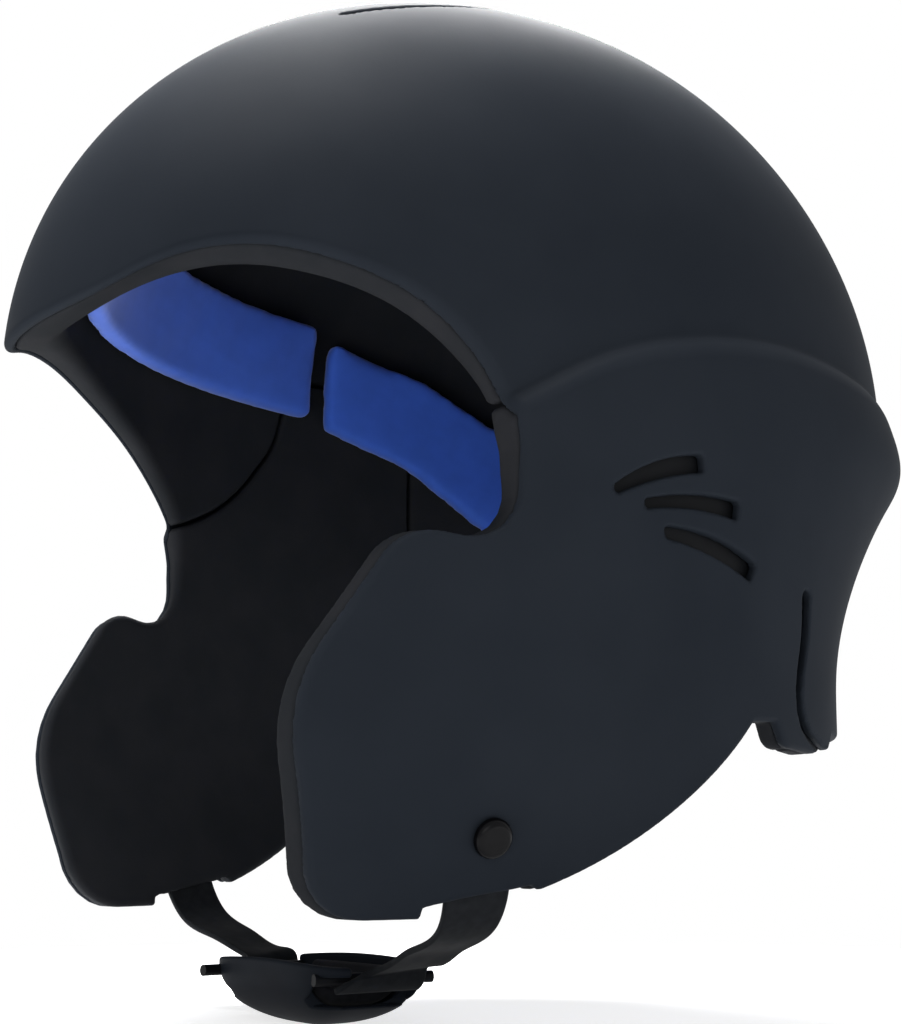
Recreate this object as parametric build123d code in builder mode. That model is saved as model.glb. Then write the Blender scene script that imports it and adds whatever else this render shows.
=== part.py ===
from build123d import *
import os
from math import sqrt

os.makedirs("parts", exist_ok=True)

# Water helmet. Millimetres, +Z up, -Y to the front, +X to the wearer's left.
# Origin: on the mid-plane, under the widest part of the dome, at ear-hole level of the head.

# ---------------------------------------------------------------- driving dimensions
# Dome: two half ellipsoids that share their widest cross-section.
dome_half_width = 103.7
dome_front_reach = 145.2
dome_rear_reach = 136.8
dome_half_height = 125.7
dome_centre_z = 27.4
dome_skirt_z = 3.0

# Flared lower form by level: height, half width, front reach, rear reach.
flare_sections = [
    (-118.0, 78.5, 172.0, 107.5),
    (-95.0, 88.5, 176.0, 107.4),
    (-72.0, 96.0, 176.0, 107.2),
    (-50.0, 99.5, 165.0, 105.0),
    (-26.0, 102.5, 150.0, 113.0),
    (-9.0, 104.6, 143.0, 124.6),
    (4.0, 106.0, 145.0, 136.1),
    (14.5, 106.6, 146.0, 144.1),
    (24.0, 106.7, 147.0, 140.5),
    (34.0, 106.2, 147.0, 134.0),
    (50.0, 104.8, 146.0, 130.0),
]
# Head cavity below the dome's equator, by level: height, half width, front reach, rear reach.
cavity_sections = [
    (-118.0, 67.5, 163.0, 96.0),
    (-95.0, 78.5, 167.0, 96.0),
    (-72.0, 86.5, 167.0, 96.0),
    (-50.0, 91.0, 156.0, 95.0),
    (-26.0, 93.5, 142.0, 99.0),
    (-5.0, 93.5, 133.0, 108.0),
    (12.0, 93.2, 130.0, 112.0),
    (27.4, 93.0, 129.0, 113.0),
]
cavity_half_height = 109.0

# Ridge where the side panel rises out of the dome, seen from the side: y, z.
ridge_points = [
    (-61.0, 0.9),
    (-40.5, 12.7),
    (-11.0, 22.4),
    (27.0, 27.4),
    (65.0, 28.4),
    (100.0, 29.4),
]
ridge_front_z = -30.0
ridge_rear_z = 29.8
ridge_apex_z = 140.0
ridge_base_z = -150.0
ridge_top_z = 120.0

# Edge of the helmet seen from the side: y, z.
far_reach = 175.0
brow_points = [
    (-147.0, 28.4),
    (-137.8, 31.2),
    (-128.0, 37.0),
    (-114.0, 39.8),
    (-98.0, 35.8),
    (-81.0, 26.8),
    (-69.0, 15.2),
    (-61.7, 3.2),
    (-58.9, -7.0),
]
brow_front_tangent = (1.0, 0.1)
temple_tangent = (0.1, -1.0)
guard_front_points = [
    (-58.6, -14.0),
    (-58.6, -28.6),
    (-82.6, -25.6),
    (-108.8, -65.0),
    (-96.2, -114.6),
    (-71.2, -114.3),
]
guard_front_radii = [10.0, 7.0, 28.0, 10.0]
strap_notch_points = [(-70.8, -112.0), (-44.6, -106.9), (-42.3, -108.0)]
guard_rear_arc = [(-13.0, -92.9), (13.8, -67.5)]
tail_points = [(23.4, -66.9), (28.2, -72.9), (44.0, -73.8), (57.6, -72.4), (60.4, -67.5)]
tail_radii = [1.2, 7.0, 10.0, 3.0]
nape_bottom_z = -67.5

# Arch over the neck, seen from behind: half width at the nape's bottom edge, and its top.
nape_arch_half_width = 44.0
nape_arch_top_z = -50.5
nape_arch_front_y = 62.0

shell_wall = 3.0
liner_gap = 0.3
seam_gap = 0.6

# Slit that frees the nape flap, seen from the side: y, z, and its width.
nape_slit_points = [
    (34.9, -34.5),
    (35.5, -44.0),
    (33.9, -54.0),
    (33.8, -60.5),
    (37.0, -66.5),
    (43.0, -70.0),
    (64.0, -74.5),
]
nape_slit_width = 2.2
nape_slit_inner_x = 60.0

# Ear vents: upper edge and lower edge, each from front to rear through its middle.
ear_vents = [
    [(-35.6, -14.6), (-21.0, -6.4), (-9.6, -4.0), (-8.8, -8.3), (-20.5, -10.8), (-33.9, -16.2)],
    [(-26.4, -16.6), (-11.0, -13.9), (3.6, -14.0), (3.0, -18.7), (-11.0, -17.5), (-26.2, -19.0)],
    [(-20.4, -22.5), (-4.8, -23.6), (10.9, -28.8), (8.9, -33.3), (-5.0, -28.2), (-19.7, -25.4)],
]
ear_vent_corner = 0.7
vent_inner_x = 85.0
baffle_thickness = 1.6
baffle_rim = 5.0

# Crown slots in plan: middle of the slot, length, width, turn from the front-rear line.
crown_slot_centre = (44.5, -53.0)
crown_slot_length = 46.0
crown_slot_width = 3.4
crown_slot_turn = 81.0
crown_slot_floor_z = 90.0

# Seam between the crown liner and the ear and nape liners, seen from the side: y, z.
seam_points = [
    (-130.0, -2.0),
    (-60.0, 3.4),
    (-38.0, 14.0),
    (-20.0, 38.0),
    (-16.0, 62.0),
    (24.0, 62.0),
    (70.0, 24.0),
    (far_reach, 16.0),
    (far_reach, -160.0),
    (-130.0, -160.0),
]
seam_radii = [6.0, 40.0, 60.0, 25.0, 14.0, 30.0, 40.0, 1.0, 1.0, 1.0]
ear_liner_rear_y = 34.0

# Fit pads: a level front band and a rear band that falls to the nape, side view y, z.
pad_thickness = 7.7
pad_corner = 4.0
pad_centre_gap = 4.4
front_pad_points = [(-150.0, 47.5), (-8.9, 49.6), (-8.9, 79.0), (-150.0, 80.0)]
rear_pad_points = [
    (-3.6, 75.8),
    (33.0, 67.0),
    (70.0, 46.0),
    (140.0, 28.0),
    (140.0, -6.0),
    (62.0, 12.0),
    (46.0, 25.5),
    (29.0, 38.0),
    (-3.6, 47.2),
]
rear_pad_radii = [pad_corner, 40.0, 40.0, 1.0, 1.0, 20.0, 20.0, 40.0, pad_corner]
crown_pad_radius = 36.0

# Hook-and-loop tabs between liner and pads: turn from the wearer's left, tilt above level.
hook_tab_radius = 9.0
hook_tab_thickness = 1.3
hook_tab_directions = [(-75, 21), (-45, 21), (-20, 21), (25, 14), (50, 8), (75, 1)]
crown_tab_y = 20.0

# Chin strap plane: it stands across the webbing and runs down each side.
strap_plane_origin = (0.0, -49.3, 0.0)
strap_across = (0.9931, -0.1173, 0.0)
strap_width = 19.0
strap_thickness = 1.6
strap_top_length = 9.0
strap_drop = 20.0
strap_end_reach = 22.8
strap_rim_bend = 3.0
strap_exit_bend = 12.0
rivet_reach = 84.1
rivet_z = -96.3
rivet_normal = (0.934, -0.357)
rivet_cap_radius = 4.75
rivet_cap_height = 2.3
rivet_cap_round = 1.7
rivet_post_radius = 2.0
rivet_post_root = 1.0
rivet_clearance = 0.4
strap_seat = 1.1
eyelet_radius = 3.6
eyelet_lip = 0.15
washer_radius = 5.2
washer_thickness = 1.0
washer_gap = 0.6
pocket_width = 28.0
pocket_top = 12.0
pocket_depth = 8.2
pocket_corner = 5.0

# Chin cup, a moulded dish: levels with height, length, width and corner radius.
cup_centre_y = -54.6
cup_levels = [
    (-124.0, 64.0, 34.0, 8.0),
    (-132.0, 62.0, 33.0, 8.0),
    (-138.0, 50.0, 26.0, 7.0),
    (-141.8, 34.0, 17.0, 6.0),
    (-143.0, 24.0, 9.0, 3.5),
]
cup_wall = 2.2
cup_rim_middle_z = -125.2
cup_rim_end_z = -127.4
cup_window_floor_z = -136.8
cup_window_inner_reach = 22.0
cup_window_gap = 0.6
cup_lining_half_length = 21.0
cup_lining_gap = 0.4
cup_lining_top_z = -128.0
cup_lining_thickness = 2.8

# Clamp bar that traps the webbing in the cup; it lifts to let the webbing run.
bar_reach = 27.5
bar_left_shift = -1.7
bar_right_shift = -6.7
bar_z = -130.3
bar_radius = 1.5
bar_length = 33.0
bar_lift = 0.8
bar_clearance = 0.3


# ---------------------------------------------------------------- shared forms
def flare_at(height):
    """Half width, front reach and rear reach of the flared form at a height."""
    for low, high in zip(flare_sections, flare_sections[1:]):
        if low[0] <= height <= high[0]:
            share = (height - low[0]) / (high[0] - low[0])
            return [a + share * (b - a) for a, b in zip(low[1:], high[1:])]
    raise ValueError("height is outside the flared form")


def flare_x(y, z):
    """Distance from the mid-plane to the flared surface at a side-view point."""
    half_width, front_reach, rear_reach = flare_at(z)
    reach = front_reach if y < 0 else rear_reach
    return half_width * sqrt(1 - (y / reach) ** 2)


def lofted(sections, inset):
    """Smooth body through level sections, its wall set in by the given distance."""
    with BuildPart() as body:
        for z, half_width, front_reach, rear_reach in sections:
            with BuildSketch(Plane.XY.offset(z)):
                with BuildLine():
                    for reach, start in ((front_reach, 180), (rear_reach, 0)):
                        EllipticalCenterArc(
                            (0, 0), half_width - inset, reach - inset, start, arc_size=180
                        )
                make_face()
        loft()
    return body.part


def egg(half_width, front_reach, rear_reach, half_height, floor_z):
    """Egg-shaped dome about the dome centre, cut off level at its floor."""
    halves = []
    for reach, side in ((front_reach, Keep.TOP), (rear_reach, Keep.BOTTOM)):
        with BuildPart() as half:
            Sphere(radius=1)
            split(bisect_by=Plane.XZ, keep=side)
            scale(by=(half_width, reach, half_height))
            split(bisect_by=Plane.XY.offset(floor_z - dome_centre_z), keep=Keep.TOP)
        halves.append(half.part.moved(Location((0, 0, dome_centre_z))))
    with BuildPart() as whole:
        add(halves)
    return whole.part


def ridge_loop(inset, height):
    """Cut of the ridge cone by a level plane: every ridge point thrown from the apex."""
    half = [(flare_x(y, z), y, z) for y, z in ridge_points]
    front = (0, -flare_at(ridge_front_z)[1], ridge_front_z)
    rear = (0, flare_at(ridge_rear_z)[2], ridge_rear_z)
    mirrored = [(-x, y, z) for x, y, z in reversed(half)]
    loop = []
    for x, y, z in [front] + half + [rear] + mirrored:
        stretch = (ridge_apex_z - height) / (ridge_apex_z - z)
        keep = 1 - inset / sqrt(x * x + y * y)
        loop.append((x * stretch * keep, y * stretch * keep))
    return loop


def helmet_form(inset):
    """Dome and raised side panel in one, every wall set in by the given distance."""
    with BuildPart() as cone:
        for height in (ridge_base_z, ridge_top_z):
            with BuildSketch(Plane.XY.offset(height)):
                with BuildLine():
                    Spline(ridge_loop(inset, height), periodic=True)
                make_face()
        loft(ruled=True)
    with BuildPart() as form:
        add(lofted(flare_sections, inset))
        add(cone.part, mode=Mode.INTERSECT)
        add(
            egg(
                dome_half_width - inset,
                dome_front_reach - inset,
                dome_rear_reach - inset,
                dome_half_height - inset,
                dome_skirt_z,
            )
        )
    return form.part


def cavity_form(inset):
    """Space for the head, every wall set in by the given distance."""
    _, half_width, front_reach, rear_reach = cavity_sections[-1]
    with BuildPart() as form:
        add(lofted(cavity_sections, inset))
        add(
            egg(
                half_width - inset,
                front_reach - inset,
                rear_reach - inset,
                cavity_half_height - inset,
                dome_centre_z,
            )
        )
    return form.part


def side_prism(points, radii, start_x=-far_reach, inset=0):
    """Side-view outline with rounded corners, carried sideways to the far left."""
    with BuildPart() as prism:
        with BuildSketch(Plane.YZ.offset(start_x)):
            with BuildLine():
                FilletPolyline(points, radius=radii, close=True)
            make_face()
            if inset:
                offset(amount=-inset)
        extrude(amount=far_reach - start_x)
    return prism.part


def mirrored(part):
    """The same piece for the other side of the helmet."""
    return mirror(part, about=Plane.YZ, mode=Mode.PRIVATE)


def save(part, name):
    """Name a finished piece and write it as its own file."""
    part.label = name
    export_step(part, f"parts/{name}.step")


outer = helmet_form(0)
shell_inner = helmet_form(shell_wall)
liner_outer = helmet_form(shell_wall + liner_gap)
cavity = cavity_form(0)

with BuildPart() as side_profile:
    with BuildSketch(Plane.YZ):
        with BuildLine():
            arch = Spline(brow_points, tangents=[brow_front_tangent, temple_tangent])
            front = FilletPolyline(guard_front_points, radius=guard_front_radii)
            Line(arch @ 1, front @ 0)
            notch = Polyline(front @ 1, *strap_notch_points)
            rear_curve = ThreePointArc(notch @ 1, *guard_rear_arc)
            tail = FilletPolyline(rear_curve @ 1, *tail_points, radius=tail_radii)
            Polyline(
                tail @ 1,
                (far_reach, nape_bottom_z),
                (far_reach, far_reach),
                (-far_reach, far_reach),
                (-far_reach, brow_points[0][1]),
                arch @ 0,
            )
        make_face()
    extrude(amount=far_reach, both=True)
    with BuildSketch(Plane.XZ.offset(-nape_arch_front_y)) as arch_mouth:
        with BuildLine():
            crown = ThreePointArc(
                (-nape_arch_half_width, nape_bottom_z),
                (0, nape_arch_top_z),
                (nape_arch_half_width, nape_bottom_z),
            )
            Polyline(
                crown @ 1,
                (nape_arch_half_width, -far_reach),
                (-nape_arch_half_width, -far_reach),
                crown @ 0,
            )
        make_face()
    extrude(amount=-(far_reach - nape_arch_front_y), mode=Mode.SUBTRACT)

# ---------------------------------------------------------------- openings in the shell
with BuildPart() as vent_cutters:
    for upper_front, upper_mid, upper_rear, lower_rear, lower_mid, lower_front in ear_vents:
        with BuildSketch(Plane.YZ.offset(vent_inner_x)) as slot:
            with BuildLine():
                ThreePointArc(upper_front, upper_mid, upper_rear)
                Line(upper_rear, lower_rear)
                ThreePointArc(lower_rear, lower_mid, lower_front)
                Line(lower_front, upper_front)
            make_face()
            fillet(slot.vertices(), radius=ear_vent_corner)
        extrude(amount=far_reach - vent_inner_x)

with BuildPart() as slit_cutter:
    with BuildSketch(Plane.YZ.offset(nape_slit_inner_x)) as slit:
        with BuildLine():
            Polyline(*nape_slit_points)
        trace(line_width=nape_slit_width)
    extrude(amount=far_reach - nape_slit_inner_x)

with BuildPart() as crown_cutter:
    with BuildSketch(Plane.XY.offset(crown_slot_floor_z)):
        with Locations(Location((*crown_slot_centre, 0), (0, 0, crown_slot_turn))):
            SlotOverall(crown_slot_length, crown_slot_width)
    extrude(amount=far_reach - crown_slot_floor_z)

# ---------------------------------------------------------------- chin strap layout, left side
across = Vector(*strap_across).normalized()
up = Vector(0, 0, 1)
strap_plane = Plane(origin=strap_plane_origin, x_dir=across, z_dir=across.cross(up))
along = -strap_plane.z_dir
normal_out = Vector(*rivet_normal).normalized()
rivet_out = across * normal_out.X + up * normal_out.Y
rivet_point = strap_plane.from_local_coords(Vector(rivet_reach, rivet_z, 0))
rivet_plane = Plane(origin=rivet_point, x_dir=along, z_dir=rivet_out)
swing_plane = Plane(origin=rivet_point, x_dir=(0, 1, 0), z_dir=(1, 0, 0))


def pin_plane(depth):
    """Plane along the webbing at a depth under the rivet cap, centred on the swing line."""
    centre = rivet_point - Vector(depth / rivet_out.X, 0, 0)
    return Plane(origin=centre, x_dir=along, z_dir=rivet_out)


strap_depth = shell_wall + strap_seat
washer_depth = strap_depth + strap_thickness + washer_gap
post_length = (washer_depth + washer_thickness) / rivet_out.X
strap_middle = strap_depth + strap_thickness / 2
rivet_seat = Vector(rivet_reach, rivet_z) - normal_out * strap_middle
strap_down = Vector(normal_out.Y, -normal_out.X)
bar_wrap = bar_radius + bar_clearance + strap_thickness / 2
strap_route = [
    rivet_seat - strap_down * strap_top_length,
    rivet_seat + strap_down * strap_drop,
    Vector(bar_reach + bar_wrap, bar_z + bar_wrap),
    Vector(bar_reach + bar_wrap, bar_z - bar_wrap),
    Vector(strap_end_reach, bar_z - bar_wrap),
]
bar_point = strap_plane.from_local_coords(Vector(bar_reach, bar_z, 0))
bar_plane = Plane(origin=bar_point, x_dir=across, z_dir=along)



def strap_pocket(depth, thickness):
    """Round-topped pocket around the strap's upper end, from a depth outwards, left side."""
    with BuildPart() as pocket:
        with BuildSketch(rivet_plane.offset(-depth)) as mouth:
            with Locations((0, pocket_top - far_reach / 2)):
                Rectangle(pocket_width, far_reach)
            fillet(mouth.vertices().group_by(Axis.Z)[-1], radius=pocket_corner)
        extrude(amount=thickness)
    return pocket.part


strap_relief = strap_pocket(pocket_depth, pocket_depth - shell_wall)
liner_pocket = strap_pocket(pocket_depth, far_reach)

# ---------------------------------------------------------------- shell
with BuildPart() as outer_shell:
    add(outer)
    add(side_profile.part, mode=Mode.INTERSECT)
    add(shell_inner, mode=Mode.SUBTRACT)
    for cutter in (vent_cutters.part, slit_cutter.part, crown_cutter.part, strap_relief):
        add(cutter, mode=Mode.SUBTRACT)
        add(mirrored(cutter), mode=Mode.SUBTRACT)
    with BuildSketch(swing_plane.offset(-pocket_depth)):
        Circle(rivet_post_radius + rivet_clearance / 2)
    post_hole = extrude(amount=2 * pocket_depth, mode=Mode.PRIVATE)
    add(post_hole, mode=Mode.SUBTRACT)
    add(mirrored(post_hole), mode=Mode.SUBTRACT)
save(outer_shell.part, "outer_shell")

# ---------------------------------------------------------------- vent baffles
with BuildPart() as ear_baffle_zone:
    with BuildSketch(Plane.YZ.offset(vent_inner_x)):
        with BuildLine():
            for vent in ear_vents:
                Polyline(*vent, close=True)
        make_hull()
        offset(amount=baffle_rim)
    extrude(amount=far_reach - vent_inner_x)

with BuildPart() as crown_baffle_zone:
    with BuildSketch(Plane.XY.offset(crown_slot_floor_z)):
        with Locations(Location((*crown_slot_centre, 0), (0, 0, crown_slot_turn))):
            SlotOverall(crown_slot_length + 2 * baffle_rim, crown_slot_width + 2 * baffle_rim)
    extrude(amount=far_reach - crown_slot_floor_z)


def skin(zone, shift, depth):
    """Layer of the liner's outer surface inside a zone, taken as deep as the given depth."""
    with BuildPart() as layer:
        add(zone)
        add(liner_outer, mode=Mode.INTERSECT)
        add(liner_outer.moved(Location(tuple(depth * part for part in shift))), mode=Mode.SUBTRACT)
    return layer.part


inward = (-1, 0, 0)
downward = (0, 0, -1)
baffle_seat = baffle_thickness + liner_gap
ear_pocket = skin(ear_baffle_zone.part, inward, baffle_seat)
crown_pocket = skin(crown_baffle_zone.part, downward, baffle_seat)

with BuildPart() as ear_vent_baffle_left:
    add(skin(ear_baffle_zone.part, inward, baffle_thickness))
save(ear_vent_baffle_left.part, "ear_vent_baffle_left")
save(mirrored(ear_vent_baffle_left.part), "ear_vent_baffle_right")

with BuildPart() as crown_vent_baffle_left:
    add(skin(crown_baffle_zone.part, downward, baffle_thickness))
save(crown_vent_baffle_left.part, "crown_vent_baffle_left")
save(mirrored(crown_vent_baffle_left.part), "crown_vent_baffle_right")

# ---------------------------------------------------------------- foam liner
with BuildPart() as liner_ring:
    add(liner_outer)
    add(side_profile.part, mode=Mode.INTERSECT)
    add(cavity, mode=Mode.SUBTRACT)

with BuildPart() as crown_liner:
    add(liner_ring.part)
    add(side_prism(seam_points, seam_radii), mode=Mode.SUBTRACT)
    add(crown_pocket, mode=Mode.SUBTRACT)
    add(mirrored(crown_pocket), mode=Mode.SUBTRACT)
save(crown_liner.part, "crown_liner")

with BuildPart() as lower_liner:
    add(liner_ring.part)
    add(side_prism(seam_points, seam_radii, inset=seam_gap), mode=Mode.INTERSECT)

with BuildPart() as ear_liner_left:
    add(lower_liner.part)
    split(bisect_by=Plane.XZ.offset(-ear_liner_rear_y), keep=Keep.TOP)
    split(bisect_by=Plane.YZ, keep=Keep.TOP)
    add(ear_pocket, mode=Mode.SUBTRACT)
    add(liner_pocket, mode=Mode.SUBTRACT)
save(ear_liner_left.part, "ear_liner_left")
save(mirrored(ear_liner_left.part), "ear_liner_right")

with BuildPart() as nape_liner:
    add(lower_liner.part)
    split(bisect_by=Plane.XZ.offset(-ear_liner_rear_y - seam_gap), keep=Keep.BOTTOM)
save(nape_liner.part, "nape_liner")

# ---------------------------------------------------------------- fit pads and their tabs
tab_face = cavity_form(hook_tab_thickness)
pad_face = cavity_form(hook_tab_thickness + pad_thickness)

with BuildPart() as pad_layer:
    add(tab_face)
    add(pad_face, mode=Mode.SUBTRACT)

front_pad_zone = side_prism(front_pad_points, [pad_corner] * 4, start_x=pad_centre_gap / 2)
rear_pad_zone = side_prism(rear_pad_points, rear_pad_radii, start_x=pad_centre_gap / 2)
for name, zone in (("front_pad", front_pad_zone), ("rear_pad", rear_pad_zone)):
    with BuildPart() as pad:
        add(zone)
        add(pad_layer.part, mode=Mode.INTERSECT)
    save(pad.part, f"{name}_left")
    save(mirrored(pad.part), f"{name}_right")

with BuildPart() as crown_pad:
    with BuildSketch(Plane.XY.offset(dome_half_height / 2)):
        Circle(crown_pad_radius)
    extrude(amount=dome_half_height)
    add(pad_layer.part, mode=Mode.INTERSECT)
save(crown_pad.part, "crown_pad")

with BuildPart() as pad_hook_tabs:
    for turn, tilt in hook_tab_directions:
        out = Vector(1, 0, 0).rotate(Axis.Y, -tilt).rotate(Axis.Z, turn)
        with BuildSketch(Plane(origin=(0, 0, dome_centre_z), z_dir=out)):
            Circle(hook_tab_radius)
        tab = extrude(amount=far_reach, mode=Mode.PRIVATE)
        add(tab)
        add(mirrored(tab))
    with BuildSketch(Plane.XY.offset(dome_half_height / 2)):
        with Locations((0, -crown_tab_y), (0, crown_tab_y)):
            Circle(hook_tab_radius)
    extrude(amount=dome_half_height)
    add(cavity, mode=Mode.INTERSECT)
    add(tab_face, mode=Mode.SUBTRACT)
save(pad_hook_tabs.part, "pad_hook_tabs")

# ---------------------------------------------------------------- strap rivets
with BuildPart() as rivet_cap_left:
    with BuildSketch(rivet_plane):
        Circle(rivet_cap_radius)
    extrude(amount=rivet_cap_height)
    crown_face = rivet_cap_left.faces().sort_by(Axis(rivet_point, rivet_out))[-1]
    fillet(crown_face.edges(), radius=rivet_cap_round)
    with BuildSketch(swing_plane.offset(rivet_post_root)):
        Circle(rivet_post_radius)
    extrude(amount=-(rivet_post_root + post_length))
save(rivet_cap_left.part, "rivet_cap_left")
save(mirrored(rivet_cap_left.part), "rivet_cap_right")

with BuildPart() as rivet_washer_left:
    with BuildSketch(pin_plane(washer_depth)):
        Circle(washer_radius)
    extrude(amount=-washer_thickness)
    with BuildSketch(swing_plane.offset(-2 * pocket_depth)):
        Circle(rivet_post_radius)
    extrude(amount=4 * pocket_depth, mode=Mode.SUBTRACT)
save(rivet_washer_left.part, "rivet_washer_left")
save(mirrored(rivet_washer_left.part), "rivet_washer_right")

with BuildPart() as strap_eyelet_left:
    with BuildSketch(pin_plane(strap_middle)):
        Circle(eyelet_radius)
    extrude(amount=strap_thickness / 2 + eyelet_lip, both=True)
    with BuildSketch(swing_plane.offset(-2 * pocket_depth)):
        Circle(rivet_post_radius + rivet_clearance)
    extrude(amount=4 * pocket_depth, mode=Mode.SUBTRACT)
save(strap_eyelet_left.part, "strap_eyelet_left")
save(mirrored(strap_eyelet_left.part), "strap_eyelet_right")

# ---------------------------------------------------------------- webbing
with BuildPart() as strap_left:
    with BuildSketch(strap_plane):
        with BuildLine():
            FilletPolyline(strap_route, radius=[strap_exit_bend, strap_rim_bend, bar_wrap])
        trace(line_width=strap_thickness)
    extrude(amount=strap_width / 2, both=True)
    with BuildSketch(pin_plane(strap_middle)):
        Circle(eyelet_radius)
    extrude(amount=strap_depth, both=True, mode=Mode.SUBTRACT)
save(strap_left.part, "strap_left")
save(mirrored(strap_left.part), "strap_right")

# ---------------------------------------------------------------- chin cup


def cup_form(inset):
    """Dish of the chin cup, its wall set in and its floor raised by the given distance."""
    with BuildPart() as dish:
        for height, length, width, corner in cup_levels:
            inner_corner = corner - inset if corner > 2 * inset else corner / 2
            if width > 2 * (inset + inner_corner):
                with BuildSketch(Plane.XY.offset(height + inset)):
                    with Locations((0, cup_centre_y)):
                        RectangleRounded(length - 2 * inset, width - 2 * inset, inner_corner)
        loft()
    return dish.part


cup_body = cup_form(0)
cup_hollow = cup_form(cup_wall)
cup_lining_floor = cup_form(cup_wall + cup_lining_gap)
cup_lining_face = cup_form(cup_wall + cup_lining_gap + cup_lining_thickness)
cup_half_length = cup_levels[0][1] / 2

with BuildPart() as cup_rim_cut:
    with BuildSketch(Plane.XZ.offset(-cup_centre_y)):
        with BuildLine():
            rim = ThreePointArc(
                (-cup_half_length, cup_rim_end_z),
                (0, cup_rim_middle_z),
                (cup_half_length, cup_rim_end_z),
            )
            Polyline(
                rim @ 1,
                (far_reach, cup_rim_end_z),
                (far_reach, 0),
                (-far_reach, 0),
                (-far_reach, cup_rim_end_z),
                rim @ 0,
            )
        make_face()
    extrude(amount=far_reach / 2, both=True)

with BuildPart() as cup_window:
    with BuildSketch(strap_plane):
        with Locations((cup_window_inner_reach, cup_window_floor_z)):
            Rectangle(far_reach, far_reach, align=(Align.MIN, Align.MIN))
    extrude(amount=strap_width / 2 + cup_window_gap, both=True)

with BuildPart() as bar_slot:
    with BuildSketch(bar_plane.offset(-bar_length)):
        with Locations((0, -bar_lift / 2)):
            SlotOverall(
                2 * (bar_radius + bar_clearance) + bar_lift,
                2 * (bar_radius + bar_clearance),
                rotation=90,
            )
    extrude(amount=2 * bar_length)

with BuildPart() as chin_cup:
    add(cup_body)
    add(cup_hollow, mode=Mode.SUBTRACT)
    add(cup_rim_cut.part, mode=Mode.SUBTRACT)
    for cutter in (cup_window.part, bar_slot.part):
        add(cutter, mode=Mode.SUBTRACT)
        add(mirrored(cutter), mode=Mode.SUBTRACT)
save(chin_cup.part, "chin_cup")

with BuildPart() as chin_cup_lining:
    with BuildSketch(Plane.XY.offset(cup_lining_top_z)):
        with Locations((0, cup_centre_y)):
            Rectangle(2 * cup_lining_half_length, far_reach)
    extrude(amount=-far_reach)
    add(cup_lining_floor, mode=Mode.INTERSECT)
    add(cup_lining_face, mode=Mode.SUBTRACT)
save(chin_cup_lining.part, "chin_cup_lining")

with BuildPart() as clamp_bar_left:
    with BuildSketch(bar_plane.offset(bar_left_shift)):
        Circle(bar_radius)
    extrude(amount=bar_length / 2, both=True)
save(clamp_bar_left.part, "clamp_bar_left")

with BuildPart() as clamp_bar_right:
    with BuildSketch(bar_plane.offset(bar_right_shift)):
        Circle(bar_radius)
    extrude(amount=bar_length / 2, both=True)
save(mirrored(clamp_bar_right.part), "clamp_bar_right")
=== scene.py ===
import math

import bpy
import numpy as np
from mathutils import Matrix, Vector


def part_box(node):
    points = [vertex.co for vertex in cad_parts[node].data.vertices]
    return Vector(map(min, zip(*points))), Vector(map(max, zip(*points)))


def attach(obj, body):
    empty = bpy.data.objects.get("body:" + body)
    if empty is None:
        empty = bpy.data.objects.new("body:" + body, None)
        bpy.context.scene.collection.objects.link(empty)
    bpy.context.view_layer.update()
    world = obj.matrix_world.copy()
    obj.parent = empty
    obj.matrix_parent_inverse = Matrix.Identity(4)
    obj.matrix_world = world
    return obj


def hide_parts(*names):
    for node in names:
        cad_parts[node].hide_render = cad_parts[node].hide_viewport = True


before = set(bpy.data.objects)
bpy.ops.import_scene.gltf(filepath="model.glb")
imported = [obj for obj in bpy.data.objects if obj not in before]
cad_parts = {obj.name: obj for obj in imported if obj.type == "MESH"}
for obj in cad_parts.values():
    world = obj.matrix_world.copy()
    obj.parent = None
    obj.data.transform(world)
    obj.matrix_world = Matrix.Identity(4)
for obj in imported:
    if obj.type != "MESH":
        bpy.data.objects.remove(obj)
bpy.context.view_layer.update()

import openvdb
from mathutils import Vector

mm = 0.001

# small tools


def toLinear(hexColour):
    parts = [int(hexColour[i:i + 2], 16) / 255 for i in (1, 3, 5)]
    linear = [c / 12.92 if c <= 0.04045 else ((c + 0.055) / 1.055) ** 2.4 for c in parts]
    return (*linear, 1.0)


def smoothCurve(knots, values):
    # a cubic through every knot, held level past its two ends
    knots, values = np.array(knots, float), np.array(values, float)
    gap = np.diff(knots)
    slope = np.diff(values) / gap
    count = len(knots)
    system, right = np.eye(count), np.zeros(count)
    for i in range(1, count - 1):
        system[i, i - 1:i + 2] = gap[i - 1], 2 * (gap[i - 1] + gap[i]), gap[i]
        right[i] = 6 * (slope[i] - slope[i - 1])
    bend = np.linalg.solve(system, right)

    def read(at):
        at = np.clip(at, knots[0], knots[-1])
        i = np.clip(np.searchsorted(knots, at) - 1, 0, count - 2)
        b = (at - knots[i]) / gap[i]
        a = 1 - b
        cubic = (a ** 3 - a) * bend[i] + (b ** 3 - b) * bend[i + 1]
        return a * values[i] + b * values[i + 1] + cubic * gap[i] ** 2 / 6

    return read


def pathThrough(points, steps):
    # evenly sampled smooth path through given points
    points = np.array(points, float)
    travel = np.concatenate([[0], np.cumsum(np.linalg.norm(np.diff(points, axis=0), axis=1))])
    at = np.linspace(0, travel[-1], steps)
    return np.stack([smoothCurve(travel, points[:, k])(at) for k in range(points.shape[1])], 1)


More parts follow.
